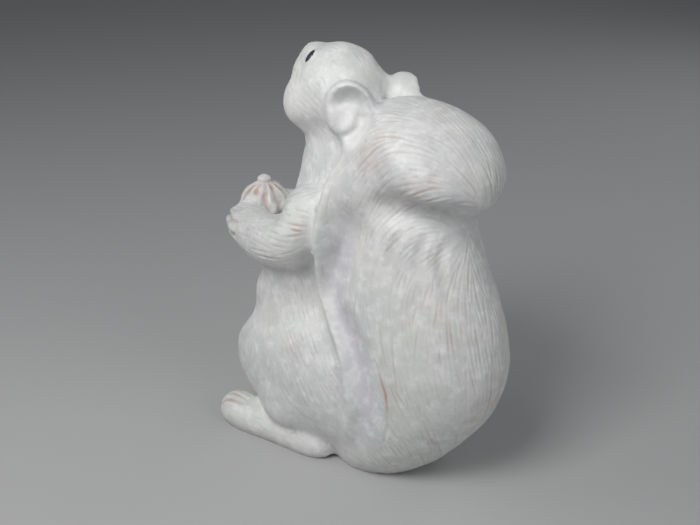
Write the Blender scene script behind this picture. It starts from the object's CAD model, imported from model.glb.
import math
from collections import deque

import bmesh
import bpy
import numpy as np
from mathutils import Matrix, Vector
from mathutils.bvhtree import BVHTree
from mathutils.kdtree import KDTree
from mathutils.noise import noise as perlin


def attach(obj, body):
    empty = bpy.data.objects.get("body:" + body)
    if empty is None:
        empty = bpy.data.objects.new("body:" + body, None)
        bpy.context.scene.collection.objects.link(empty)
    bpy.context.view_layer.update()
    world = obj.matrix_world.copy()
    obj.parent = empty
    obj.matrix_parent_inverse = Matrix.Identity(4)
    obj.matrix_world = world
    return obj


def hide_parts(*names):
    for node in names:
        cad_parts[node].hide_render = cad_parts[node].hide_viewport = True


# The ornament is one skin of clay, worked over as a whole and then cut along the CAD seams into
# closed pieces. Lengths in this script are millimetres in the frame's axes until the pieces are made.
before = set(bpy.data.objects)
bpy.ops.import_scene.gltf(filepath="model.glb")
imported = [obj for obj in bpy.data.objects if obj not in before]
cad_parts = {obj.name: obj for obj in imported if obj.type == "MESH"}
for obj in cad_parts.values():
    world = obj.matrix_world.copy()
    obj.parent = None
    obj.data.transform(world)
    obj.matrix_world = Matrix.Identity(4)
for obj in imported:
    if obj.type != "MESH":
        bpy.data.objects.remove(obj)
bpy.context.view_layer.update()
MM = 0.001
SEED = 11

CLAY = (
    "torso head left_ear right_ear left_arm right_arm acorn_nut acorn_cap left_haunch right_haunch "
    "left_foot right_foot tail_plume tail_curl floor_slab"
).split()
NUMBER = {name: number for number, name in enumerate(CLAY)}

SKIN_STEP = 1.4
SETTLE_ROUNDS = 3
VENT_PLUG_RADIUS = 12.0
VENT_PLUG_HEIGHT = 5.0
VENT_PLUG_SIDES = 24


# Arrays and small mesh tools


def node_arrays(name):
    """A CAD node's points in millimetres and its triangles."""
    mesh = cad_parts[name].data
    points = np.empty(3 * len(mesh.vertices))
    mesh.vertices.foreach_get("co", points)
    mesh.calc_loop_triangles()
    triangles = np.empty(3 * len(mesh.loop_triangles), np.int32)
    mesh.loop_triangles.foreach_get("vertices", triangles)
    return points.reshape(-1, 3) / MM, triangles.reshape(-1, 3)


def plug_arrays():
    """A closed drum that stops the vent while the skin is made."""
    sides = VENT_PLUG_SIDES
    turn = np.arange(sides) * 2 * math.pi / sides
    ring = np.stack([np.cos(turn) * VENT_PLUG_RADIUS, np.sin(turn) * VENT_PLUG_RADIUS, np.zeros(sides)], 1)
    top = ring + np.array([0, 0, VENT_PLUG_HEIGHT])
    points = np.vstack([ring, top, [[0, 0, 0]], [[0, 0, VENT_PLUG_HEIGHT]]])
    triangles = []
    for a in range(sides):
        b = (a + 1) % sides
        triangles += [(a, b, sides + b), (a, sides + b, sides + a)]
        triangles += [(b, a, 2 * sides), (sides + a, sides + b, 2 * sides + 1)]
    return points, np.array(triangles)


def evaluated(mesh, kind, **settings):
    """A mesh after one modifier."""
    holder = bpy.data.objects.new("holder", mesh)
    bpy.context.scene.collection.objects.link(holder)
    tool = holder.modifiers.new("tool", kind)
    for key, value in settings.items():
        setattr(tool, key, value)
    graph = bpy.context.evaluated_depsgraph_get()
    made = bpy.data.meshes.new_from_object(holder.evaluated_get(graph), depsgraph=graph)
    bpy.data.objects.remove(holder)
    return made


def quad_arrays(mesh):
    """Points, quads and edges of an all-quad mesh."""
    points = np.empty(3 * len(mesh.vertices))
    mesh.vertices.foreach_get("co", points)
    corners = np.empty(len(mesh.loops), np.int32)
    mesh.loops.foreach_get("vertex_index", corners)
    edges = np.empty(2 * len(mesh.edges), np.int32)
    mesh.edges.foreach_get("vertices", edges)
    return points.reshape(-1, 3), corners.reshape(-1, 4), edges.reshape(-1, 2)


def quad_mesh(name, points, quads):
    mesh = bpy.data.meshes.new(name)
    mesh.vertices.add(len(points))
    mesh.vertices.foreach_set("co", np.ascontiguousarray(points, np.float32).ravel())
    mesh.loops.add(quads.size)
    mesh.loops.foreach_set("vertex_index", np.ascontiguousarray(quads, np.int32).ravel())
    mesh.polygons.add(len(quads))
    mesh.polygons.foreach_set("loop_start", np.arange(0, quads.size, 4, dtype=np.int32))
    mesh.update(calc_edges=True)
    return mesh


def unit(vectors):
    return vectors / np.maximum(np.linalg.norm(vectors, axis=-1, keepdims=True), 1e-9)


def skin_normals(points, quads):
    """Area-weighted normals at the points."""
    face = np.cross(points[quads[:, 2]] - points[quads[:, 0]], points[quads[:, 3]] - points[quads[:, 1]])
    total = np.zeros_like(points)
    for corner in range(4):
        for axis in range(3):
            total[:, axis] += np.bincount(quads[:, corner], face[:, axis], len(points))
    return unit(total)


def relax(values, edges, weight, rounds):
    """Draws each point's values towards the mean of its neighbours, by the point's weight."""
    weight = np.broadcast_to(weight, (len(values),))
    used, local = np.unique(edges[(weight[edges] > 0).any(1)], return_inverse=True)
    first, second = local.reshape(-1, 2).T
    part, share = values[used], weight[used][:, None]
    degree = (np.bincount(first, minlength=len(used)) + np.bincount(second, minlength=len(used)))[:, None]
    for _ in range(rounds):
        total = np.empty_like(part)
        for axis in range(part.shape[1]):
            total[:, axis] = np.bincount(first, part[second, axis], len(used))
            total[:, axis] += np.bincount(second, part[first, axis], len(used))
        part = part + share * (total / degree - part)
    values = values.copy()
    values[used] = part
    return values


def near(points, targets):
    """Distance from each point to the nearest target."""
    tree = KDTree(len(targets))
    for number, target in enumerate(targets):
        tree.insert(target, number)
    tree.balance()
    return np.array([tree.find(point)[2] for point in points])


def fade(distance, reach):
    """One at no distance, falling smoothly to nothing at the reach."""
    share = np.clip(distance / reach, 0, 1)
    return (1 - share**2) ** 2


def ramp(value, low, high):
    share = np.clip((value - low) / (high - low), 0, 1)
    return share * share * (3 - 2 * share)


# Clay that is modelled here by hand: the ears, and the crest along each flank of the tail

EAR_MIDDLE, EAR_FACING = (25.5, 34.0, 228.8), (0.72, 0.64, 0.05)
EAR_DEPTH, EAR_RISE, EAR_SPREAD = 14.5, 19.0, 15.3
RIGHT_EAR_DROP = 4.5

# Points on the upper crest: left, back, up and the thickness of the ridge
RIDGE = (
    (36, 21, 116, 4.5),
    (38, 21, 130, 5.0),
    (41, 23, 143.5, 5.5),
    (43, 25, 153.5, 6.0),
    (43, 26.5, 162.5, 6.0),
    (41, 27, 172.5, 6.5),
    (36, 25.5, 181.5, 7.0),
    (32, 25, 188, 8.0),
    (29, 28.5, 197, 9.0),
)
RIDGE_FACING = np.array([0.67, -0.74, 0.0])
RIDGE_STEP = 1.5


def ball_arrays(middle, radii, axes):
    """A closed ellipsoid from its middle, radii and the directions of its axes."""
    shape = bmesh.new()
    bmesh.ops.create_icosphere(shape, subdivisions=4, radius=1.0)
    places = np.array([vert.co for vert in shape.verts]) * radii @ axes + middle
    corners = np.array([[vert.index for vert in face.verts] for face in shape.faces])
    shape.free()
    return places, corners


def ear_frame(side):
    """Middle of an ear and the directions out of its cup, up it and across it to the back."""
    out = unit(np.array(EAR_FACING) * (side, 1, 1))
    rise = unit(np.array([0, 0, 1]) - out[2] * out)
    middle = np.array(EAR_MIDDLE) * (side, 1, 1) - (0, 0, RIGHT_EAR_DROP * (side < 0))
    return middle, np.stack([out, rise, side * np.cross(rise, out)])


def ear_arrays(side):
    middle, axes = ear_frame(side)
    return ball_arrays(middle, (EAR_DEPTH, EAR_RISE, EAR_SPREAD), axes)


def ridge_arrays(side):
    """Balls strung along the upper crest."""
    stops = np.array(RIDGE)
    run = np.concatenate([[0], np.cumsum(np.linalg.norm(np.diff(stops[:, :3], axis=0), axis=1))])
    for at in np.arange(0, run[-1], RIDGE_STEP):
        left, back, up, thick = (np.interp(at, run, column) for column in stops.T)
        middle = (np.array([left, back, up]) - RIDGE_FACING * thick) * (side, 1, 1)
        yield ball_arrays(middle, (thick, thick, thick), np.eye(3))


# The skin: every clay node joined, remeshed and marked with the node it came from

EARS = {"left_ear": 1, "right_ear": -1}
all_points, all_triangles, triangle_owner = [], [], []
offset = 0
for name in CLAY:
    points, triangles = ear_arrays(EARS[name]) if name in EARS else node_arrays(name)
    all_points.append(points)
    all_triangles.append(triangles + offset)
    triangle_owner.append(np.full(len(triangles), NUMBER[name]))
    offset += len(points)
all_points = np.vstack(all_points)
all_triangles = np.vstack(all_triangles)
triangle_owner = np.concatenate(triangle_owner)

joined_points, joined_triangles = [all_points], [all_triangles]
offset = len(all_points)
for points, triangles in [plug_arrays(), *ridge_arrays(1), *ridge_arrays(-1)]:
    joined_points.append(points)
    joined_triangles.append(triangles + offset)
    offset += len(points)
joined = bpy.data.meshes.new("joined")
joined.from_pydata(np.vstack(joined_points).tolist(), [], np.vstack(joined_triangles).tolist())
skin = evaluated(joined, "REMESH", mode="VOXEL", voxel_size=SKIN_STEP)
points, quads, edges = quad_arrays(skin)


def largest_island(points, quads, edges):
    """Keeps only the largest island, which is the outside."""
    label = np.full(len(points), -1)
    links = [[] for _ in range(len(points))]
    for a, b in edges.tolist():
        links[a].append(b)
        links[b].append(a)
    islands = 0
    for start in range(len(points)):
        if label[start] >= 0:
            continue
        label[start] = islands
        queue = deque([start])
        while queue:
            here = queue.popleft()
            for there in links[here]:
                if label[there] < 0:
                    label[there] = islands
                    queue.append(there)
        islands += 1
    kept = label == np.bincount(label).argmax()
    renumber = np.cumsum(kept) - 1
    quads = renumber[quads[kept[quads[:, 0]]]]
    edges = renumber[edges[kept[edges[:, 0]]]]
    return points[kept], quads, edges


points, quads, edges = largest_island(points, quads, edges)


def face_links(quads):
    """Pairs of faces that share an edge, with the edge's two points."""
    ends = np.stack([quads, np.roll(quads, -1, 1)], -1).reshape(-1, 2)
    ends = np.sort(ends, 1)
    face = np.repeat(np.arange(len(quads)), 4)
    order = np.lexsort((ends[:, 1], ends[:, 0]))
    ends, face = ends[order], face[order]
    same = (ends[1:] == ends[:-1]).all(1)
    return np.stack([face[:-1][same], face[1:][same]], 1), ends[1:][same]


links, link_ends = face_links(quads)
cad_tree = BVHTree.FromPolygons(all_points.tolist(), all_triangles.tolist())
owner = np.array([triangle_owner[cad_tree.find_nearest(c)[2]] for c in points[quads].mean(1)])


def settle(owner, links, rounds):
    """Evens out the border between owners by letting each face's neighbours vote."""
    count, kinds = len(owner), len(CLAY)
    votes = np.zeros((count, kinds))
    votes[np.arange(count), owner] = 1
    for _ in range(rounds):
        total = votes.copy()
        for kind in range(kinds):
            total[:, kind] += np.bincount(links[:, 0], votes[links[:, 1], kind], count)
            total[:, kind] += np.bincount(links[:, 1], votes[links[:, 0], kind], count)
        votes = total / total.sum(1, keepdims=True)
    return votes.argmax(1)


def drop_crumbs(owner, links, rounds=3):
    """Gives each small patch that is cut off from its owner to the owner around it."""
    beside = [[] for _ in range(len(owner))]
    for a, b in links.tolist():
        beside[a].append(b)
        beside[b].append(a)
    for _ in range(rounds):
        patch = np.full(len(owner), -1)
        members = []
        for start in range(len(owner)):
            if patch[start] >= 0:
                continue
            number = len(members)
            patch[start] = number
            queue, found = deque([start]), [start]
            while queue:
                here = queue.popleft()
                for there in beside[here]:
                    if patch[there] < 0 and owner[there] == owner[here]:
                        patch[there] = number
                        queue.append(there)
                        found.append(there)
            members.append(found)
        main = {}
        for found in members:
            kind = owner[found[0]]
            if kind not in main or len(found) > len(main[kind]):
                main[kind] = found
        changed = 0
        for found in members:
            if main[owner[found[0]]] is found:
                continue
            around = [owner[t] for f in found for t in beside[f] if owner[t] != owner[f]]
            if around:
                owner[found] = np.bincount(around).argmax()
                changed += 1
        if not changed:
            break
    return owner


owner = drop_crumbs(settle(owner, links, SETTLE_ROUNDS), links)


def numbers(names):
    return [NUMBER[name] for name in names.split()]


def seam(names_a, names_b):
    """Numbers of the points on the border between two groups of nodes."""
    first, second = owner[links[:, 0]], owner[links[:, 1]]
    a, b = numbers(names_a), numbers(names_b)
    crossing = (np.isin(first, a) & np.isin(second, b)) | (np.isin(first, b) & np.isin(second, a))
    return np.unique(link_ends[crossing])


def owners_of_points():
    found = np.zeros(len(points), int)
    for corner in range(4):
        found[quads[:, corner]] = owner
    return found


point_owner = owners_of_points()

# Sculpting of the skin as a whole: soft joins, the crest and channel of the tail, the waist under the curl

GROUND = 0.9
SMOOTHING, CAP_FIRMNESS = 0.5, 0.35
on_ground = points[:, 2] < GROUND

BODY = "torso head left_haunch right_haunch left_arm right_arm left_ear right_ear"
TAIL = "tail_plume tail_curl"


def where(names):
    return np.isin(point_owner, numbers(names))


def smoothed(rounds):
    """The skin drawn smooth all over, but less on the acorn's cap, which keeps its stem."""
    return relax(points, edges, SMOOTHING - CAP_FIRMNESS * where("acorn_cap"), rounds)


def soften(line, reach, rounds):
    """The skin drawn smooth around a seam."""
    return relax(points, edges, 0.7 * fade(near(points, points[line]), reach), rounds)


# Seams that are drawn smooth: the nodes on either side, how far the smoothing reaches and its rounds
SOFT_SEAMS = (
    ("torso", "head left_haunch right_haunch", 17.0, 70),
    ("tail_plume", "tail_curl", 14.0, 40),
    ("torso", "left_arm right_arm", 8.0, 20),
    ("head torso", "left_ear right_ear", 5.0, 12),
)
HEAD_SMOOTHING, HEAD_ROUNDS = 0.6, 14
# The tail's seam with the body is softer below the arms
LOW_SEAM_TOP, HIGH_SEAM_FOOT = 118, 112
points = smoothed(6)
on_tail = where(TAIL)
tail_seam = seam(BODY, TAIL)
points = relax(points, edges, HEAD_SMOOTHING * where("head"), HEAD_ROUNDS)
for nodes, others, reach, rounds in SOFT_SEAMS:
    points = soften(seam(nodes, others), reach, rounds)
points = soften(tail_seam[points[tail_seam, 2] < LOW_SEAM_TOP], 11.0, 40)
points = soften(tail_seam[points[tail_seam, 2] > HIGH_SEAM_FOOT], 4.0, 8)

# The tail's crest runs down each flank: heights along it and how far back it lies there
CREST_HEIGHTS = (0, 25, 55, 85, 100, 116, 130, 143, 153, 162, 172, 182, 188, 197, 210, 218)
CREST_SETBACKS = (40, 50, 57, 46, 33, 21, 21, 23, 25, 26.5, 27, 25.5, 25, 28.5, 36, 44)
levels = np.arange(-20, 280, 1.0)
smoothing = np.hanning(15) / np.hanning(15).sum()
crest_line = np.convolve(np.interp(levels, CREST_HEIGHTS, CREST_SETBACKS), smoothing, "same")
crest_slope = np.gradient(crest_line)


def past_crest(points):
    """How far behind the crest each point lies."""
    _, y, z = points.T
    return (y - np.interp(z, levels, crest_line)) / np.hypot(1, np.interp(z, levels, crest_slope))


# In the pairs below, a form starts at the first value and is full at the second
# The flank between the crest and the curl is drawn out into one surface: reach and rounds of each pass
FLANK_MIDDLE, FLANK_PASSES = (35, 54, 193), ((34, 900), (46, 150))
FLANK_START = (0.5, 5)
BESIDE_FLANK = ~where("left_ear right_ear head")
for side in (1, -1):
    for reach, rounds in FLANK_PASSES:
        away = np.linalg.norm(points - np.array(FLANK_MIDDLE) * (side, 1, 1), axis=1)
        loose = fade(away, reach) * ramp(past_crest(points), *FLANK_START) * BESIDE_FLANK
        points = relax(points, edges, 0.8 * loose, rounds)

# The skin just before the upper crest is drawn smooth
BEFORE_AWAY, BEFORE_REACH, BEFORE_FOOT, BEFORE_SIDE, BEFORE_ROUNDS = 4.0, 9.0, (108, 122), (14, 20), 30
before = fade(np.abs(past_crest(points) + BEFORE_AWAY), BEFORE_REACH) * ramp(points[:, 2], *BEFORE_FOOT)
before = before * ramp(np.abs(points[:, 0]), *BEFORE_SIDE)
points = relax(points, edges, 0.6 * before, BEFORE_ROUNDS)

# The crest stands out sideways, with a channel behind it, a dip before it and the flank filled above
CREST_FOOT, CREST_TOP, CREST_SIDE, CREST_UPPER = (5, 55), (203, 216), (12, 22), (112, 140)
CREST_RISE_LOW, CREST_RISE_HIGH, CREST_BEFORE, CREST_BEHIND = 5.4, 5.2, 3.0, 3.4
CHANNEL_DEPTH_LOW, CHANNEL_DEPTH_HIGH, CHANNEL_NEAR, CHANNEL_DEEP = 4.5, 8.0, 0.5, 9.0
CHANNEL_FAR_LOW, CHANNEL_FAR_HIGH = 30.0, 40.0
CHANNEL_FOOT, CHANNEL_WIDENS, CHANNEL_TOP = (35, 100), (105, 150), (160, 188)
FRONT_DEPTH, FRONT_AWAY, FRONT_REACH = 1.2, 6.5, 3.5
FILL_MIDDLE, FILL_REACH, FILL_HEIGHT, FILL_START = (31, 40, 191), 30, 5.0, (-4, 2)
x, y, z = points.T
across = past_crest(points)
along = (1 - ramp(z, *CREST_TOP)) * ramp(z, *CREST_FOOT) * ramp(np.abs(x), *CREST_SIDE)
deeper = ramp(z, *CHANNEL_FOOT)
upper = ramp(z, *CREST_UPPER)
crest = np.exp(-((across / np.where(across > 0, CREST_BEHIND, CREST_BEFORE)) ** 2)) * along
channel_far = CHANNEL_FAR_LOW + (CHANNEL_FAR_HIGH - CHANNEL_FAR_LOW) * ramp(z, *CHANNEL_WIDENS)
channel = ramp(across, CHANNEL_NEAR, CHANNEL_DEEP) * (1 - ramp(across, CHANNEL_DEEP, channel_far)) * along
front = np.exp(-(((across + FRONT_AWAY) / FRONT_REACH) ** 2)) * along * upper
raised = (CREST_RISE_LOW + (CREST_RISE_HIGH - CREST_RISE_LOW) * upper) * crest - FRONT_DEPTH * front
sunk = (CHANNEL_DEPTH_LOW + (CHANNEL_DEPTH_HIGH - CHANNEL_DEPTH_LOW) * upper) * channel * deeper
sunk = sunk * (1 - ramp(z, *CHANNEL_TOP))
fill = fade(np.linalg.norm(np.abs(points) - FILL_MIDDLE, axis=1), FILL_REACH) * ramp(across, *FILL_START)
sideways = np.sign(x) * (raised - sunk + FILL_HEIGHT * fill * BESIDE_FLANK)
points = points + sideways[:, None] * np.array([1.0, 0, 0])

# The crevice under the curl, pressed in a little at a time
WAIST_LEVEL, WAIST_REACH, WAIST_DEPTH, WAIST_PASSES = 181, 8, 3.2, 3
WAIST_FRONT, WAIST_BACK = (50, 78), (106, 118)
for _ in range(WAIST_PASSES):
    normals = skin_normals(points, quads)
    _, y, z = points.T
    waist = np.exp(-(((z - WAIST_LEVEL) / WAIST_REACH) ** 2))
    waist = waist * ramp(y, *WAIST_FRONT) * (1 - ramp(y, *WAIST_BACK)) * on_tail
    points = points - normals * (WAIST_DEPTH * waist)[:, None]
    points = relax(points, edges, 0.5 * (waist > 0.02), 4)
normals = skin_normals(points, quads)


def swell(middle, reach, amount):
    """Raises the skin around a point, or presses it in."""
    gap = np.linalg.norm(points - np.array(middle), axis=1)
    return points + normals * (amount * fade(gap, reach))[:, None]


# Belly, top of the paw, knuckle and toes on each side: place, reach and height
SIDE_SWELLS = (
    ((22, -46, 98), 22, 2.5),
    ((23, -63, 149), 12, -3.5),
    ((38, -58, 138), 9, 1.4),
    ((46, -54, 14), 17, 3.0),
)
# Tip and bridge of the snout
SNOUT_SWELLS = (((0, -21, 252), 10, 1.8), ((0, -13, 258), 8, -1.4))
# The haunch hangs over the foot
KNEE_PLACE, KNEE_REACH, KNEE_SHIFT = (48, -6, 27), 27, (5.0, -2.0, -3.0)
for side in (1, -1):
    for (left, back, up), reach, height in SIDE_SWELLS:
        points = swell((side * left, back, up), reach, height)
    away = np.linalg.norm(points - np.array(KNEE_PLACE) * (side, 1, 1), axis=1)
    knee = fade(away, KNEE_REACH) * where("left_haunch right_haunch")
    points = points + knee[:, None] * (np.array(KNEE_SHIFT) * (side, 1, 1))
for place, reach, height in SNOUT_SWELLS:
    points = swell(place, reach, height)

# The ears' cups: a bowl under a hood, with a wedge of clay low at the front
CUP_SHARE, CUP_DEPTH, RIM_HEIGHT, HOOD_HEIGHT, FRONT_TILT = 0.84, 10.0, 0.6, 2.2, 7.0
WEDGE = ((-14.5, 2.0), (4.5, 2.5), (3.8, -6.5), (-1, -11.5), (-7, -11.5), (-11.5, -7))
WEDGE_EDGE, WEDGE_BASE, WEDGE_SLOPE, WEDGE_LIFT = 2.2, 5.0, 0.30, 3
# Heights above the ear's middle plane, and places across the ear: the rim lies at about one
EAR_REACH, CUP_BELOW, RIM_LOW, RIM_HIGH, TILT_LOW = 18, 4, -2, 14, -4
RIM_PLACE, RIM_WIDTH, RIM_BACK, HOOD_UP = 0.93, 0.08, (-6, 4), (2, 12)
CUP_OPENS, CUP_OPEN_SHARE, TILT_FRONT, TILT_EDGE = (3, 13), 0.75, (-6, 15), (1.0, 1.2)
CUP_EDGE, AROUND_NEAR, AROUND_FAR, AROUND_BACK = 1.15, (0.97, 1.15), (1.6, 2.1), (0, 8)
JOIN_PLACE, JOIN_WIDTH, JOIN_BACK, JOIN_DOWN = 1.05, 0.32, (-4, 3), (-3, 3)


def inside_wedge(back, rise):
    """How far each point of the cup lies inside the wedge's outline."""
    depth = np.full(len(back), np.inf)
    for (a, b), (c, d) in zip(WEDGE, WEDGE[1:] + WEDGE[:1]):
        run = math.hypot(c - a, d - b)
        depth = np.minimum(depth, ((c - a) * (b - rise) - (d - b) * (a - back)) / run)
    return depth


for side in (1, -1):
    middle, axes = ear_frame(side)
    out, rise, back = ((points - middle) @ axes.T).T
    rim = np.hypot(rise / EAR_RISE, back / EAR_SPREAD)
    level = EAR_DEPTH * math.sqrt(1 - CUP_SHARE**2)
    open_front = 1 - CUP_OPEN_SHARE * ramp(-back, *CUP_OPENS)
    bowl = level - CUP_DEPTH * open_front * (1 - np.clip(rim / CUP_SHARE, 0, 1) ** 3)
    wedge = ramp(inside_wedge(back, rise), -WEDGE_EDGE / 2, WEDGE_EDGE / 2)
    bowl = np.minimum(bowl + wedge * (WEDGE_BASE - WEDGE_SLOPE * rise), level + 1)
    in_cup = (rim < CUP_SHARE) & (out > bowl - CUP_BELOW) & (out < EAR_REACH)
    shift = np.where(in_cup, np.minimum(bowl - out, WEDGE_LIFT * wedge), 0)
    on_rim = np.exp(-(((rim - RIM_PLACE) / RIM_WIDTH) ** 2)) * ((out > RIM_LOW) & (out < RIM_HIGH))
    shift = shift + on_rim * (RIM_HEIGHT * ramp(back, *RIM_BACK) + HOOD_HEIGHT * ramp(rise, *HOOD_UP))
    tilted = FRONT_TILT * ramp(-back, *TILT_FRONT) * (1 - ramp(rim, *TILT_EDGE))
    shift = shift - tilted * ((out > TILT_LOW) & (out < EAR_REACH))
    points = points + shift[:, None] * axes[0]
    at_ear = np.abs(out) < EAR_REACH
    points = relax(points, edges, 0.5 * ((rim < CUP_EDGE) & at_ear), 2)
    around = ramp(rim, *AROUND_NEAR) * (1 - ramp(rim, *AROUND_FAR)) * at_ear
    around = around * (1 - 0.8 * ramp(back, *AROUND_BACK))
    points = relax(points, edges, 0.6 * around, 110)
    join = fade(np.abs(rim - JOIN_PLACE), JOIN_WIDTH) * ramp(back, *JOIN_BACK)
    join = join * ramp(-rise, *JOIN_DOWN) * at_ear
    points = relax(points, edges, 0.7 * join, 40)

# The worked skin, meshed anew


def remade(points, quads, owner):
    """The skin meshed anew where the modelling folded it, each face with its owner."""
    made = evaluated(quad_mesh("worked", points, quads), "REMESH", mode="VOXEL", voxel_size=SKIN_STEP)
    new_points, new_quads, new_edges = largest_island(*quad_arrays(made))
    old_faces = BVHTree.FromPolygons(points.tolist(), quads.tolist())
    new_owner = np.array([owner[old_faces.find_nearest(c)[2]] for c in new_points[new_quads].mean(1)])
    return new_points, new_quads, new_edges, new_owner


points[on_ground, 2] = 0
points, quads, edges, owner = remade(points, quads, owner)
links, _ = face_links(quads)
owner = drop_crumbs(settle(owner, links, SETTLE_ROUNDS), links)
point_owner = owners_of_points()
on_ground = points[:, 2] < GROUND
on_tail = where(TAIL)
points = smoothed(4)

# The crest's edge is rounded off
EDGE_AWAY, EDGE_REACH, EDGE_SIDE, EDGE_FOOT, EDGE_TOP = 3.5, 8.0, (14, 20), (20, 40), (200, 212)
x, y, z = points.T
rounded = fade(np.abs(past_crest(points) + EDGE_AWAY), EDGE_REACH) * ramp(np.abs(x), *EDGE_SIDE)
rounded = rounded * ramp(z, *EDGE_FOOT) * (1 - ramp(z, *EDGE_TOP))
points = relax(points, edges, 0.6 * rounded, 14)

# The channel's tint
TINT_TOP = (150, 195)
x, y, z = points.T
across = past_crest(points)
channel = ramp(across, CHANNEL_NEAR, CHANNEL_DEEP) * (1 - ramp(across, CHANNEL_DEEP, CHANNEL_FAR_LOW))
channel = channel * ramp(z, *CREST_FOOT) * (1 - ramp(z, *TINT_TOP)) * ramp(np.abs(x), *CREST_SIDE) * on_tail
normals = skin_normals(points, quads)

# Slow unevenness of hand-modelled clay
LUMP_SIZE, LUMP_HEIGHT = 13.0, 0.45
lumps = np.array([perlin(p / LUMP_SIZE) for p in points])
points = points + normals * (LUMP_HEIGHT * lumps)[:, None]
points = relax(points, edges, 0.5, 3)
points[on_ground, 2] = 0
points[:, 2] = np.maximum(points[:, 2], 0)
normals = skin_normals(points, quads)

# The skin at full fineness

coarse = quad_mesh("coarse", points, quads)
mark = coarse.attributes.new("owner", "INT", "FACE")
mark.data.foreach_set("value", owner.astype(np.int32))
coarse.attributes.new("channel", "FLOAT", "POINT").data.foreach_set("value", channel.astype(np.float32))
fine = evaluated(coarse, "SUBSURF", levels=1, render_levels=1, subdivision_type="CATMULL_CLARK")
fine_points, fine_quads, _ = quad_arrays(fine)
fine_owner = np.empty(len(fine_quads), np.int32)
fine.attributes["owner"].data.foreach_get("value", fine_owner)
fine_channel = np.empty(len(fine_points), np.float32)
fine.attributes["channel"].data.foreach_get("value", fine_channel)
fine_channel = fine_channel.astype(float)

# Fur: strokes drawn along a field of directions, evenly spaced and broken up as by hand

HEAD_MIDDLE = np.array([0, 5.85, 232])
HEAD_ANGLE = math.radians(42)
HEAD_FRONT = np.array([0, -math.cos(HEAD_ANGLE), math.sin(HEAD_ANGLE)])
HEAD_UP = np.array([0, math.sin(HEAD_ANGLE), math.cos(HEAD_ANGLE)])
NOTCH = np.array([0, 104, 166])
NECK, FOREARM, SHOULDER = (215, 195), (0, 22), (166, 182)
BELLY_FRONT, BELLY_FOOT, BELLY_TOP = (30, 44), (62, 80), (108, 124)
DRIFT_HEIGHTS, DRIFTS = (0, 60, 120, 165, 200), (0.5, 0.45, 0.2, -0.15, -0.5)
GATHER_REACH, GATHER_SHARES, CURL_FOOT = 38, (0.6, 1, 1), (176, 196)
x, y, z = points.T
count = len(points)
field = np.zeros((count, 3))
side_of = np.sign(x) + (x == 0)


def towards(left, back, up):
    """A direction at every point."""
    return np.stack(np.broadcast_arrays(left, back, up, x)[:3], 1).astype(float)


def blend(first, second, share):
    return first * (1 - share) + second * share


def comb(names, ways):
    """Sets the direction of the fur on some nodes."""
    field[where(names)] = ways[where(names)]


comb("head left_ear right_ear", blend(-HEAD_FRONT, towards(0, 0.2, -1), ramp(z, *NECK)[:, None]))
belly = (ramp(-y, *BELLY_FRONT) * ramp(z, *BELLY_FOOT) * (1 - ramp(z, *BELLY_TOP)))[:, None]
comb("torso", blend(towards(0, 0.25, -1), towards(side_of, 0, -0.3), belly))
arm_way = blend(towards(0, -1, 0), towards(-0.25 * side_of, -1, -0.12), ramp(-y, *FOREARM)[:, None])
comb("left_arm right_arm", blend(arm_way, towards(0, -0.3, -1), ramp(z, *SHOULDER)[:, None]))
comb("left_haunch right_haunch", towards(0, 0.75, -1))
comb("left_foot right_foot", towards(0, -1, -0.1))
from_notch = points - NOTCH
gather = np.exp(-((np.linalg.norm(from_notch * GATHER_SHARES, axis=1) / GATHER_REACH) ** 2))[:, None]
plume_way = blend(towards(0, np.interp(z, DRIFT_HEIGHTS, DRIFTS), -1), unit(from_notch), gather)
curl_way = unit(towards(0, z - NOTCH[2], -(y - NOTCH[1])))
over = ramp(z, *CURL_FOOT)[:, None]
against = (plume_way * -curl_way).sum(1, keepdims=True) < -0.2
comb(TAIL, np.where(against, blend(plume_way, curl_way, over), blend(plume_way, -curl_way, over)))
field = field - normals * (field * normals).sum(1, keepdims=True)
field = unit(relax(unit(field), edges, 0.6, 8))
field = unit(field - normals * (field * normals).sum(1, keepdims=True))

# Per kind of node: spacing, shortest and longest stroke, half width, depth
FUR = {
    "torso": (3.0, 5, 20, 0.90, 0.38),
    "head": (3.2, 4, 12, 0.85, 0.22),
    "arm": (3.4, 9, 28, 1.05, 0.34),
    "haunch": (2.8, 6, 28, 0.85, 0.24),
    "foot": (4.2, 5, 14, 0.85, 0.16),
    "tail_plume": (2.7, 10, 60, 0.90, 0.30),
    "tail_curl": (2.6, 10, 55, 0.90, 0.32),
}
NO_FUR = (0, 0, 0, 0, 0)
SMOOTH_BEFORE, SMOOTH_BEHIND, SMOOTH_SIDE, SMOOTH_TINT, SMOOTH_FOOT = -7.0, 3.5, 16, 0.35, 1.5
kinds = [name.removeprefix("left_").removeprefix("right_") for name in CLAY]
fur = np.array([FUR.get(kind, NO_FUR) for kind in kinds])[point_owner]
across = past_crest(points)
near_crest = (across > SMOOTH_BEFORE) & (across < SMOOTH_BEHIND) & (np.abs(points[:, 0]) > SMOOTH_SIDE)
fur[(channel > SMOOTH_TINT) | (points[:, 2] < SMOOTH_FOOT) | near_crest, 0] = 0

rng = np.random.default_rng(SEED)
STEP, CELL = 1.0, 3.5
PRESSURE_SIZE = 21.0
grid = {}


def cells_near(point):
    a, b, c = int(point[0] // CELL), int(point[1] // CELL), int(point[2] // CELL)
    for i in (a - 1, a, a + 1):
        for j in (b - 1, b, b + 1):
            for k in (c - 1, c, c + 1):
                yield grid.get((i, j, k), ())


def crowded(point, reach):
    limit = reach * reach
    for others in cells_near(point):
        for other in others:
            if (other - point).length_squared < limit:
                return True
    return False


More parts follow.
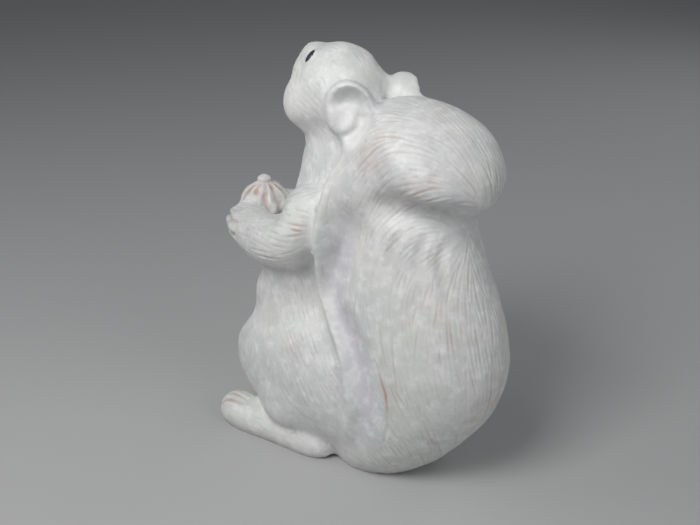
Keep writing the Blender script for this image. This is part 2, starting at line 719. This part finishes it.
tree = KDTree(count)
for number, point in enumerate(points):
    tree.insert(point, number)
tree.balance()
place = [Vector(p) for p in points]
facing = [Vector(n) for n in normals]
heading = [Vector(f) for f in field]
samples, sample_shape = [], []


def walk(start, sign, reach, spacing, bend):
    """Points of a stroke from a start point along the field, until it is too near another one."""
    here, number, found = place[start].copy(), start, []
    way = heading[start] * sign
    for _ in range(int(reach / STEP)):
        ahead = heading[number] * sign
        if ahead.dot(way) < 0:
            break
        way = (ahead + facing[number].cross(ahead) * bend).normalized()
        here = here + way * STEP
        spot, number, _ = tree.find(here)
        here = here - facing[number] * (here - spot).dot(facing[number])
        if fur[number, 0] == 0 or crowded(here, 0.6 * spacing):
            break
        found.append(here)
    return found


for start in rng.permutation(count).tolist():
    spacing, short, long, half, depth = fur[start]
    if spacing == 0:
        continue
    spacing = spacing * rng.uniform(0.8, 1.25)
    if crowded(place[start], spacing):
        continue
    length = rng.uniform(short, long)
    bend = rng.normal(0, 0.10)
    line = walk(start, -1, length / 2, spacing, bend)[::-1] + [place[start]]
    line += walk(start, 1, length / 2, spacing, bend)
    if len(line) < 4:
        continue
    pressure = 0.45 + 0.8 * ramp(perlin(place[start] / PRESSURE_SIZE), -0.5, 0.4)
    strength = rng.uniform(0.4, 1.4) * pressure
    for number, point in enumerate(line):
        key = (int(point[0] // CELL), int(point[1] // CELL), int(point[2] // CELL))
        grid.setdefault(key, []).append(point)
        taper = min(1.0, 0.25 + 2.2 * min(number, len(line) - 1 - number) / len(line))
        samples.append(point)
        sample_shape.append((half * (0.75 + 0.35 * strength), depth * strength * taper))
        if number:
            samples.append((line[number - 1] + point) / 2)
            sample_shape.append(sample_shape[-1])
sample_shape = np.array(sample_shape)


def nearest_sample(targets, wanted):
    tree = KDTree(len(targets))
    for number, target in enumerate(targets):
        tree.insert(target, number)
    tree.balance()
    gap, which = np.empty(len(wanted)), np.empty(len(wanted), int)
    for number, point in enumerate(wanted.tolist()):
        _, which[number], gap[number] = tree.find(point)
    return gap, which


fine_normals = skin_normals(fine_points, fine_quads)
gap, which = nearest_sample(samples, fine_points)
half, depth = sample_shape[which].T
sample_normals = normals[[tree.find(sample)[1] for sample in samples]]
same_side = ramp((fine_normals * sample_normals[which]).sum(1), 0.4, 0.8)
depth = depth * same_side
share = gap / half
groove = fade(share, 1.0)
bank = fade(np.abs(share - 1.5), 0.6)
fine_points = fine_points + fine_normals * (depth * (0.18 * bank - groove))[:, None]
fine_points[:, 2] = np.maximum(fine_points[:, 2], 0)
groove_tone = groove * np.clip(depth / 0.5, 0, 1.2)

# Creases: lines pressed in with a tool


def on_head(left, front, up):
    """A point in the head's own frame: left, front and up from its middle."""
    return HEAD_MIDDLE + np.array([left, 0, 0]) + HEAD_FRONT * front + HEAD_UP * up


def laid_on_skin(corners, step=0.5):
    """Points along a polyline, each moved on to the skin."""
    laid = []
    for a, b in zip(corners, corners[1:]):
        steps = max(1, int(np.linalg.norm(np.subtract(b, a)) / step))
        for number in range(steps + 1):
            point = Vector(a).lerp(Vector(b), number / steps)
            spot, nearest, _ = tree.find(point)
            laid.append(point - facing[nearest] * (point - spot).dot(facing[nearest]))
    return laid


FOOT_PLACE, FOOT_ANGLE = np.array([42.0, -15.0]), math.radians(6)


def on_foot(side, ahead, out, height):
    """A point in a foot's own frame: ahead of its middle, out to the side and above the ground."""
    way = np.array([math.sin(FOOT_ANGLE), -math.cos(FOOT_ANGLE)])
    aside = np.array([math.cos(FOOT_ANGLE), math.sin(FOOT_ANGLE)])
    x, y = FOOT_PLACE + way * ahead + aside * out
    return side * x, y, height


# Each crease: its corners, half width and depth
creases = []
for side in (1, -1):
    for out in (-5.5, 0.5, 6.0):
        toe = ((26, 19), (38, 17), (46, 9), (47, 3))
        creases.append(([on_foot(side, a, out, h) for a, h in toe], 1.6, 1.5))
    for level in (133, 141):
        finger = ((40, -50, level + 2), (35, -61, level), (27, -73, level), (12, -84, level))
        creases.append(([(side * a, b, c) for a, b, c in finger], 2.8, 1.7))
    flute = ((44.5, 70, 90), (44.5, 75, 81), (44.5, 79, 71), (44, 80, 61), (43, 80, 49), (41.5, 76.5, 37))
    creases.append(([(side * a, b, c) for a, b, c in flute], 1.8, 0.5))
    creases.append(([on_head(0, 34, -5), on_head(side * 8, 31, -12), on_head(side * 15, 24, -12)], 1.3, 1.3))
    creases.append(([on_head(side * 2.6, 35, 1), on_head(side * 4.2, 34, 2.5)], 1.3, 1.4))
    cheek = ((13, 24, 6), (14, 25, 0), (17, 20, -5))
    creases.append(([on_head(side * a, b, c) for a, b, c in cheek], 1.4, 0.6))
crease_points, crease_shape = [], []
for corners, half, depth in creases:
    laid = laid_on_skin(corners)
    crease_points += laid
    crease_shape += [(half, depth)] * len(laid)

# Pleats that fan out below the curl, each a bow from its start past its middle to its end: left, back and up
PLEATS = (
    ((16, 94, 173), (34, 80, 162), (29, 98, 130)),
    ((9, 100, 168), (25, 92, 158), (20, 107, 128)),
    ((29, 80, 172), (38, 72, 160), (38, 75, 142)),
)
PLEAT_HALF, PLEAT_DEPTH = 5.0, 1.5
for side in (1, -1):
    for start, middle, end in np.array(PLEATS) * (side, 1, 1):
        share = np.linspace(0, 1, 12)[:, None]
        laid = laid_on_skin((1 - share) ** 2 * start + 2 * share * (1 - share) * middle + share**2 * end)
        crease_points += laid
        for number in range(len(laid)):
            crease_shape.append((PLEAT_HALF, PLEAT_DEPTH * math.sin(math.pi * number / len(laid))))
crease_shape = np.array(crease_shape)
gap, which = nearest_sample(crease_points, fine_points)
half, depth = crease_shape[which].T
pressed = fade(gap, half)
fine_points = fine_points - fine_normals * (depth * pressed)[:, None]
fine_points[:, 2] = np.maximum(fine_points[:, 2], 0)
groove_tone = np.maximum(groove_tone, np.where(half < PLEAT_HALF, 0.9, 0.2) * pressed)

# Acorn cap: uneven ribs that run down from the stem

ACORN_AXIS = (0.0, -65.0)
RIBS, RIB_HEIGHT, RIB_WANDER = 11, 1.4, 7.0
STEM_KNOB, STEM_NECK, KNOB_DOWN, NECK_DOWN, KNOB_REACH = 1.8, 0.8, 2.2, 6.0, 1.8
cap_points = np.unique(fine_quads[fine_owner == NUMBER["acorn_cap"]])
x, y, z = fine_points[cap_points].T
turn = np.arctan2(y - ACORN_AXIS[1], x - ACORN_AXIS[0])
wander = np.array([perlin(p / RIB_WANDER) for p in fine_points[cap_points]])
ribs = 1 - np.abs(np.sin(RIBS / 2 * turn + 1.6 * wander))
off_axis = np.hypot(x - ACORN_AXIS[0], y - ACORN_AXIS[1])
off_stem = ramp(off_axis, 3, 8)
lift = RIB_HEIGHT * (ribs - 0.4) * (0.8 + 0.7 * wander) * off_stem
fine_points[cap_points] += fine_normals[cap_points] * lift[:, None]
below_tip = z.max() - z
knob = STEM_KNOB * np.exp(-(((below_tip - KNOB_DOWN) / KNOB_REACH) ** 2))
knob = knob - STEM_NECK * np.exp(-(((below_tip - NECK_DOWN) / KNOB_REACH) ** 2))
knob = knob * off_axis / (off_axis + 1) * (1 - off_stem)
fine_points[cap_points, 0] += knob * np.cos(turn)
fine_points[cap_points, 1] += knob * np.sin(turn)
groove_tone[cap_points] = fade(ribs, 0.65) * ramp(wander, -0.35, 0.15) * off_stem

# Eyes: flat beads, each sunk in a socket with a raised lid

EYE_PLACE, EYE_FACING = (15.7, 22.3, 7.8), (0.53, 0.84, 0.09)
EYE_RADIUS, EYE_BULGE, EYE_SINK, SOCKET_FLOOR = 4.5, 1.7, 0.2, -0.5
LID_RADIUS, LID_REACH, LID_HEIGHT = 5.4, 1.6, 0.8


def eye_frame(side):
    """Middle and outward direction of an eye."""
    left, front, up = EYE_PLACE
    a, b, c = EYE_FACING
    out = np.array([side * a, 0, 0]) + HEAD_FRONT * b + HEAD_UP * c
    return on_head(side * left, front, up), unit(out)


for side in (1, -1):
    middle, out = eye_frame(side)
    away = fine_points - middle
    height = away @ out
    radius = np.linalg.norm(away - height[:, None] * out, axis=1)
    near_eye = fade(np.abs(height), 9.0)
    lid = LID_HEIGHT * np.exp(-(((radius - LID_RADIUS) / LID_REACH) ** 2)) * near_eye
    socket = (SOCKET_FLOOR - height) * (1 - ramp(radius, EYE_RADIUS, EYE_RADIUS + 1.2)) * (np.abs(height) < 7)
    fine_points = fine_points + (lid + socket)[:, None] * out

# Places where the whitewash is rubbed thin: left, back and up, reach and strength
RUBBED = (
    (40, 62, 214, 24, 0.7),
    (36, 92, 200, 18, 0.6),
    (43, 50, 102, 13, 0.9),
    (44, 82, 72, 16, 0.9),
    (28, 104, 115, 26, 0.8),
    (50, 6, 76, 16, 0.7),
    (48, 16, 160, 12, 0.7),
    (46, -52, 16, 11, 0.9),
    (24, -74, 136, 14, 0.7),
    (18, 43, 238, 8, 1.0),
    (0, -65, 152, 22, 1.0),
    (0, -65, 166, 6, 1.0),
    (0, 120, 60, 22, 0.7),
)
OTHER_SIDE_SHARE = 0.7
rubbed = np.zeros(len(fine_points))
for left, back, up, reach, strength in RUBBED:
    for side, share in ((1, 1.0), (-1, OTHER_SIDE_SHARE)):
        away = np.linalg.norm(fine_points - np.array([side * left, back, up]), axis=1)
        rubbed = np.maximum(rubbed, strength * share * fade(away, reach))

# Pieces: the skin cut along its seams, each closed behind its own edge

final_normals = skin_normals(fine_points, fine_quads)
FLOOR_RECESS = 11.0


def border_loops(local, size):
    """Closed runs of the points along a patch's edge, in the order of its faces."""
    ends = np.stack([local, np.roll(local, -1, 1)], -1).reshape(-1, 2).astype(np.int64)
    open_edge = ~np.isin(ends[:, 0] * size + ends[:, 1], ends[:, 1] * size + ends[:, 0])
    follow = {}
    for a, b in ends[open_edge].tolist():
        follow.setdefault(a, []).append(b)
    loops = []
    while follow:
        start = next(iter(follow))
        loop, here = [], start
        while here in follow:
            loop.append(here)
            there = follow[here].pop()
            if not follow[here]:
                del follow[here]
            here = there
            if here == start:
                break
        loops.append(loop)
    return loops


def clay_piece(name):
    """One closed piece: its patch of the skin, and caps behind the patch's edges."""
    faces = np.flatnonzero(fine_owner == NUMBER[name])
    used, local = np.unique(fine_quads[faces], return_inverse=True)
    local = local.reshape(-1, 4)
    places = [fine_points[used]]
    tones = np.stack([groove_tone, fine_channel, rubbed], 1)[used]
    total = len(used)
    caps, cap_quads = [], []
    for loop in border_loops(local, len(used)):
        ring = fine_points[used][loop]
        if ring[:, 2].max() < 1.0:
            raised = ring + np.array([0, 0, FLOOR_RECESS])
            places.append(raised)
            top = list(range(total, total + len(loop)))
            total += len(loop)
            for number, a in enumerate(loop):
                after = (number + 1) % len(loop)
                cap_quads.append((loop[after], a, top[number], top[after]))
            loop, ring = top, raised
        middle = ring.mean(0)
        places.append(middle[None])
        for number, a in enumerate(loop):
            caps.append((loop[(number + 1) % len(loop)], a, total))
        total += 1
    places = np.vstack(places)
    tones = np.vstack([tones, np.zeros((total - len(used), tones.shape[1]))])
    mesh = bpy.data.meshes.new(name + "_clay")
    corner_lists = [local.ravel(), np.array(cap_quads, int).ravel(), np.array(caps, int).ravel()]
    corners = np.concatenate(corner_lists).astype(np.int32)
    sizes = np.concatenate([np.full(len(local) + len(cap_quads), 4), np.full(len(caps), 3)])
    mesh.vertices.add(total)
    mesh.vertices.foreach_set("co", (places * MM).astype(np.float32).ravel())
    mesh.loops.add(len(corners))
    mesh.loops.foreach_set("vertex_index", corners)
    mesh.polygons.add(len(sizes))
    mesh.polygons.foreach_set("loop_start", (np.cumsum(sizes) - sizes).astype(np.int32))
    smooth = np.zeros(len(sizes), bool)
    smooth[: len(local)] = True
    mesh.polygons.foreach_set("use_smooth", smooth)
    for column, key in enumerate(("groove", "channel", "rubbed")):
        layer = mesh.attributes.new(key, "FLOAT", "POINT")
        layer.data.foreach_set("value", tones[:, column].astype(np.float32))
    mesh.update(calc_edges=True)
    mesh.validate()
    loop_normals = np.zeros((len(corners), 3), np.float32)
    loop_normals[: local.size] = final_normals[used][local.ravel()]
    if len(mesh.loops) == len(corners):
        mesh.normals_split_custom_set(loop_normals)
    piece = bpy.data.objects.new(name + "_clay", mesh)
    bpy.context.scene.collection.objects.link(piece)
    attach(piece, "root")
    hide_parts(name)
    return piece


# Materials


def nodes_for(name):
    material = bpy.data.materials.new(name)
    material.use_nodes = True
    tree = material.node_tree
    return material, tree, tree.nodes["Principled BSDF"]


def add(tree, kind, inputs=None, **settings):
    node = tree.nodes.new(kind)
    for key, value in settings.items():
        setattr(node, key, value)
    for key, value in (inputs or {}).items():
        if hasattr(value, "is_linked"):
            tree.links.new(value, node.inputs[key])
        else:
            node.inputs[key].default_value = value
    return node


def noise(tree, place, scale, detail=4.0, rough=0.55):
    return add(
        tree, "ShaderNodeTexNoise", {"Vector": place, "Scale": scale, "Detail": detail, "Roughness": rough}
    ).outputs["Fac"]


def stepped(tree, value, low, high):
    return add(
        tree,
        "ShaderNodeMapRange",
        {"Value": value, "From Min": low, "From Max": high},
        interpolation_type="SMOOTHSTEP",
    ).outputs["Result"]


def math_node(tree, kind, a, b):
    return add(tree, "ShaderNodeMath", {0: a, 1: b}, operation=kind, use_clamp=True).outputs[0]


def mixed(tree, share, first, second):
    node = add(tree, "ShaderNodeMix", data_type="RGBA")
    for socket, value in ((node.inputs[0], share), (node.inputs[6], first), (node.inputs[7], second)):
        if hasattr(value, "is_linked"):
            tree.links.new(value, socket)
        else:
            socket.default_value = value
    return node.outputs[2]


def whitewash_material():
    """Satin white slip over terracotta, thin in the strokes and rubbed through in places."""
    material, tree, shader = nodes_for("whitewash")
    place = add(tree, "ShaderNodeTexCoord").outputs["Object"]
    groove, channel, rubbed = (
        add(tree, "ShaderNodeAttribute", attribute_name=key).outputs["Fac"]
        for key in ("groove", "channel", "rubbed")
    )
    cloud = stepped(tree, noise(tree, place, 26.0, 5.0), 0.35, 0.65)
    tint = stepped(tree, noise(tree, place, 14.0, 3.0), 0.48, 0.66)
    fleck = noise(tree, place, 150.0, 5.0, 0.65)
    patch = stepped(tree, noise(tree, place, 46.0, 6.0, 0.6), 0.47, 0.62)
    blot = stepped(tree, noise(tree, place, 95.0, 6.0, 0.6), 0.44, 0.60)
    white = mixed(tree, cloud, (0.72, 0.73, 0.73, 1), (0.82, 0.81, 0.79, 1))
    white = mixed(tree, math_node(tree, "MULTIPLY", blot, 0.45), white, (0.62, 0.62, 0.61, 1))
    white = mixed(tree, math_node(tree, "MULTIPLY", tint, 0.6), white, (0.69, 0.73, 0.68, 1))
    white = mixed(tree, math_node(tree, "MULTIPLY", channel, 0.5), white, (0.64, 0.62, 0.69, 1))
    white = mixed(tree, stepped(tree, fleck, 0.42, 0.78), white, (0.90, 0.90, 0.89, 1))
    dirt = math_node(tree, "MULTIPLY", groove, 0.32)
    tone = mixed(tree, dirt, white, (0.42, 0.39, 0.35, 1))
    thin = math_node(tree, "MULTIPLY", rubbed, patch)
    worn = math_node(tree, "ADD", rubbed, math_node(tree, "MULTIPLY", patch, 0.12))
    in_groove = math_node(tree, "MULTIPLY", math_node(tree, "MULTIPLY", groove, worn), 0.95)
    bare = math_node(tree, "ADD", math_node(tree, "MULTIPLY", thin, 0.16), in_groove)
    tone = mixed(tree, bare, tone, (0.50, 0.25, 0.16, 1))
    tree.links.new(tone, shader.inputs["Base Color"])
    rough = add(tree, "ShaderNodeMapRange", {"Value": fleck, "To Min": 0.36, "To Max": 0.62})
    tree.links.new(rough.outputs["Result"], shader.inputs["Roughness"])
    grain = noise(tree, place, 520.0, 4.0, 0.6)
    bump = add(tree, "ShaderNodeBump", {"Height": grain, "Strength": 0.22, "Distance": 0.0006})
    tree.links.new(bump.outputs["Normal"], shader.inputs["Normal"])
    return material


def terracotta_material():
    material, tree, shader = nodes_for("bare_terracotta")
    place = add(tree, "ShaderNodeTexCoord").outputs["Object"]
    cloud = noise(tree, place, 60.0, 5.0)
    grit = noise(tree, place, 420.0, 4.0, 0.6)
    tone = mixed(tree, stepped(tree, cloud, 0.3, 0.7), (0.50, 0.24, 0.15, 1), (0.62, 0.36, 0.25, 1))
    tone = mixed(tree, stepped(tree, grit, 0.55, 0.75), tone, (0.70, 0.50, 0.40, 1))
    tree.links.new(tone, shader.inputs["Base Color"])
    shader.inputs["Roughness"].default_value = 0.85
    bump = add(tree, "ShaderNodeBump", {"Height": grit, "Strength": 0.3, "Distance": 0.0006})
    tree.links.new(bump.outputs["Normal"], shader.inputs["Normal"])
    return material


def eye_material():
    material, tree, shader = nodes_for("eye_glaze")
    place = add(tree, "ShaderNodeTexCoord").outputs["Object"]
    tone = mixed(tree, noise(tree, place, 300.0), (0.020, 0.018, 0.026, 1), (0.075, 0.068, 0.085, 1))
    tree.links.new(tone, shader.inputs["Base Color"])
    shader.inputs["Roughness"].default_value = 0.16
    return material


WHITEWASH, TERRACOTTA, EYE_GLAZE = whitewash_material(), terracotta_material(), eye_material()
for name in CLAY:
    if name != "floor_slab":
        clay_piece(name).data.materials.append(WHITEWASH)


def dress(name, material):
    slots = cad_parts[name].data.materials
    slots.clear()
    slots.append(material)


dress("floor_slab", TERRACOTTA)


def eye_piece(name, side):
    """A glazed bead, flattened along the way it faces."""
    middle, out = eye_frame(side)
    shape = bmesh.new()
    bmesh.ops.create_uvsphere(shape, u_segments=40, v_segments=24, radius=1.0)
    size = Matrix.Diagonal((EYE_RADIUS * MM, EYE_RADIUS * MM, EYE_BULGE * MM, 1))
    turn = Vector(out).to_track_quat("Z", "Y").to_matrix().to_4x4()
    shift = Matrix.Translation(Vector(middle - out * EYE_SINK) * MM)
    shape.transform(shift @ turn @ size)
    mesh = bpy.data.meshes.new(name + "_bead")
    shape.to_mesh(mesh)
    shape.free()
    mesh.shade_smooth()
    mesh.materials.append(EYE_GLAZE)
    piece = bpy.data.objects.new(name + "_bead", mesh)
    bpy.context.scene.collection.objects.link(piece)
    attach(piece, "root")
    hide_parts(name)


eye_piece("left_eye", 1)
eye_piece("right_eye", -1)

# Studio

AZIMUTH, ELEVATION, DISTANCE = math.radians(132), math.radians(24), 0.650
FOCAL_PIXELS, IMAGE_WIDTH, SENSOR = 1040, 700, 36.0
TARGET = Vector((0.0067, 0.0176, 0.125))


def look(azimuth, elevation):
    return Vector(
        (
            -math.sin(azimuth) * math.cos(elevation),
            math.cos(azimuth) * math.cos(elevation),
            -math.sin(elevation),
        )
    )


camera = bpy.data.objects.new("camera", bpy.data.cameras.new("camera"))
bpy.context.scene.collection.objects.link(camera)
gaze = look(AZIMUTH, ELEVATION)
camera.location = TARGET - gaze * DISTANCE
camera.rotation_euler = gaze.to_track_quat("-Z", "Y").to_euler()
camera.data.sensor_width = SENSOR
camera.data.lens = FOCAL_PIXELS / IMAGE_WIDTH * SENSOR
camera.data.clip_start = 0.01
bpy.context.scene.camera = camera


def area_light(name, azimuth, elevation, distance, size, energy):
    data = bpy.data.lights.new(name, "AREA")
    data.energy, data.size = energy, size
    lamp = bpy.data.objects.new(name, data)
    bpy.context.scene.collection.objects.link(lamp)
    way = look(math.radians(azimuth), math.radians(elevation))
    lamp.location = Vector((0, 0.02, 0.16)) - way * distance
    lamp.rotation_euler = way.to_track_quat("-Z", "Y").to_euler()


area_light("key", 98, 46, 0.75, 0.35, 3.6)
area_light("fill", 178, 26, 1.3, 0.8, 2.4)
area_light("front", 35, 35, 1.3, 0.8, 2.0)
area_light("back", 262, 30, 1.3, 0.8, 2.0)

world = bpy.data.worlds.new("studio")
world.use_nodes = True
world.node_tree.nodes["Background"].inputs["Color"].default_value = (0.9, 0.93, 1.0, 1)
world.node_tree.nodes["Background"].inputs["Strength"].default_value = 0.12
bpy.context.scene.world = world
bpy.context.scene.view_settings.view_transform = "Standard"

floor_mesh = bpy.data.meshes.new("floor")
HALF_FLOOR = 2.0
floor_mesh.from_pydata(
    [(a * HALF_FLOOR, b * HALF_FLOOR, 0) for a, b in ((-1, -1), (1, -1), (1, 1), (-1, 1))], [], [(0, 1, 2, 3)]
)
floor = bpy.data.objects.new("floor", floor_mesh)
bpy.context.scene.collection.objects.link(floor)
floor_paint, _, floor_shader = nodes_for("floor_paint")
floor_shader.inputs["Base Color"].default_value = (0.50, 0.50, 0.50, 1)
floor_shader.inputs["Roughness"].default_value = 0.9
floor_mesh.materials.append(floor_paint)
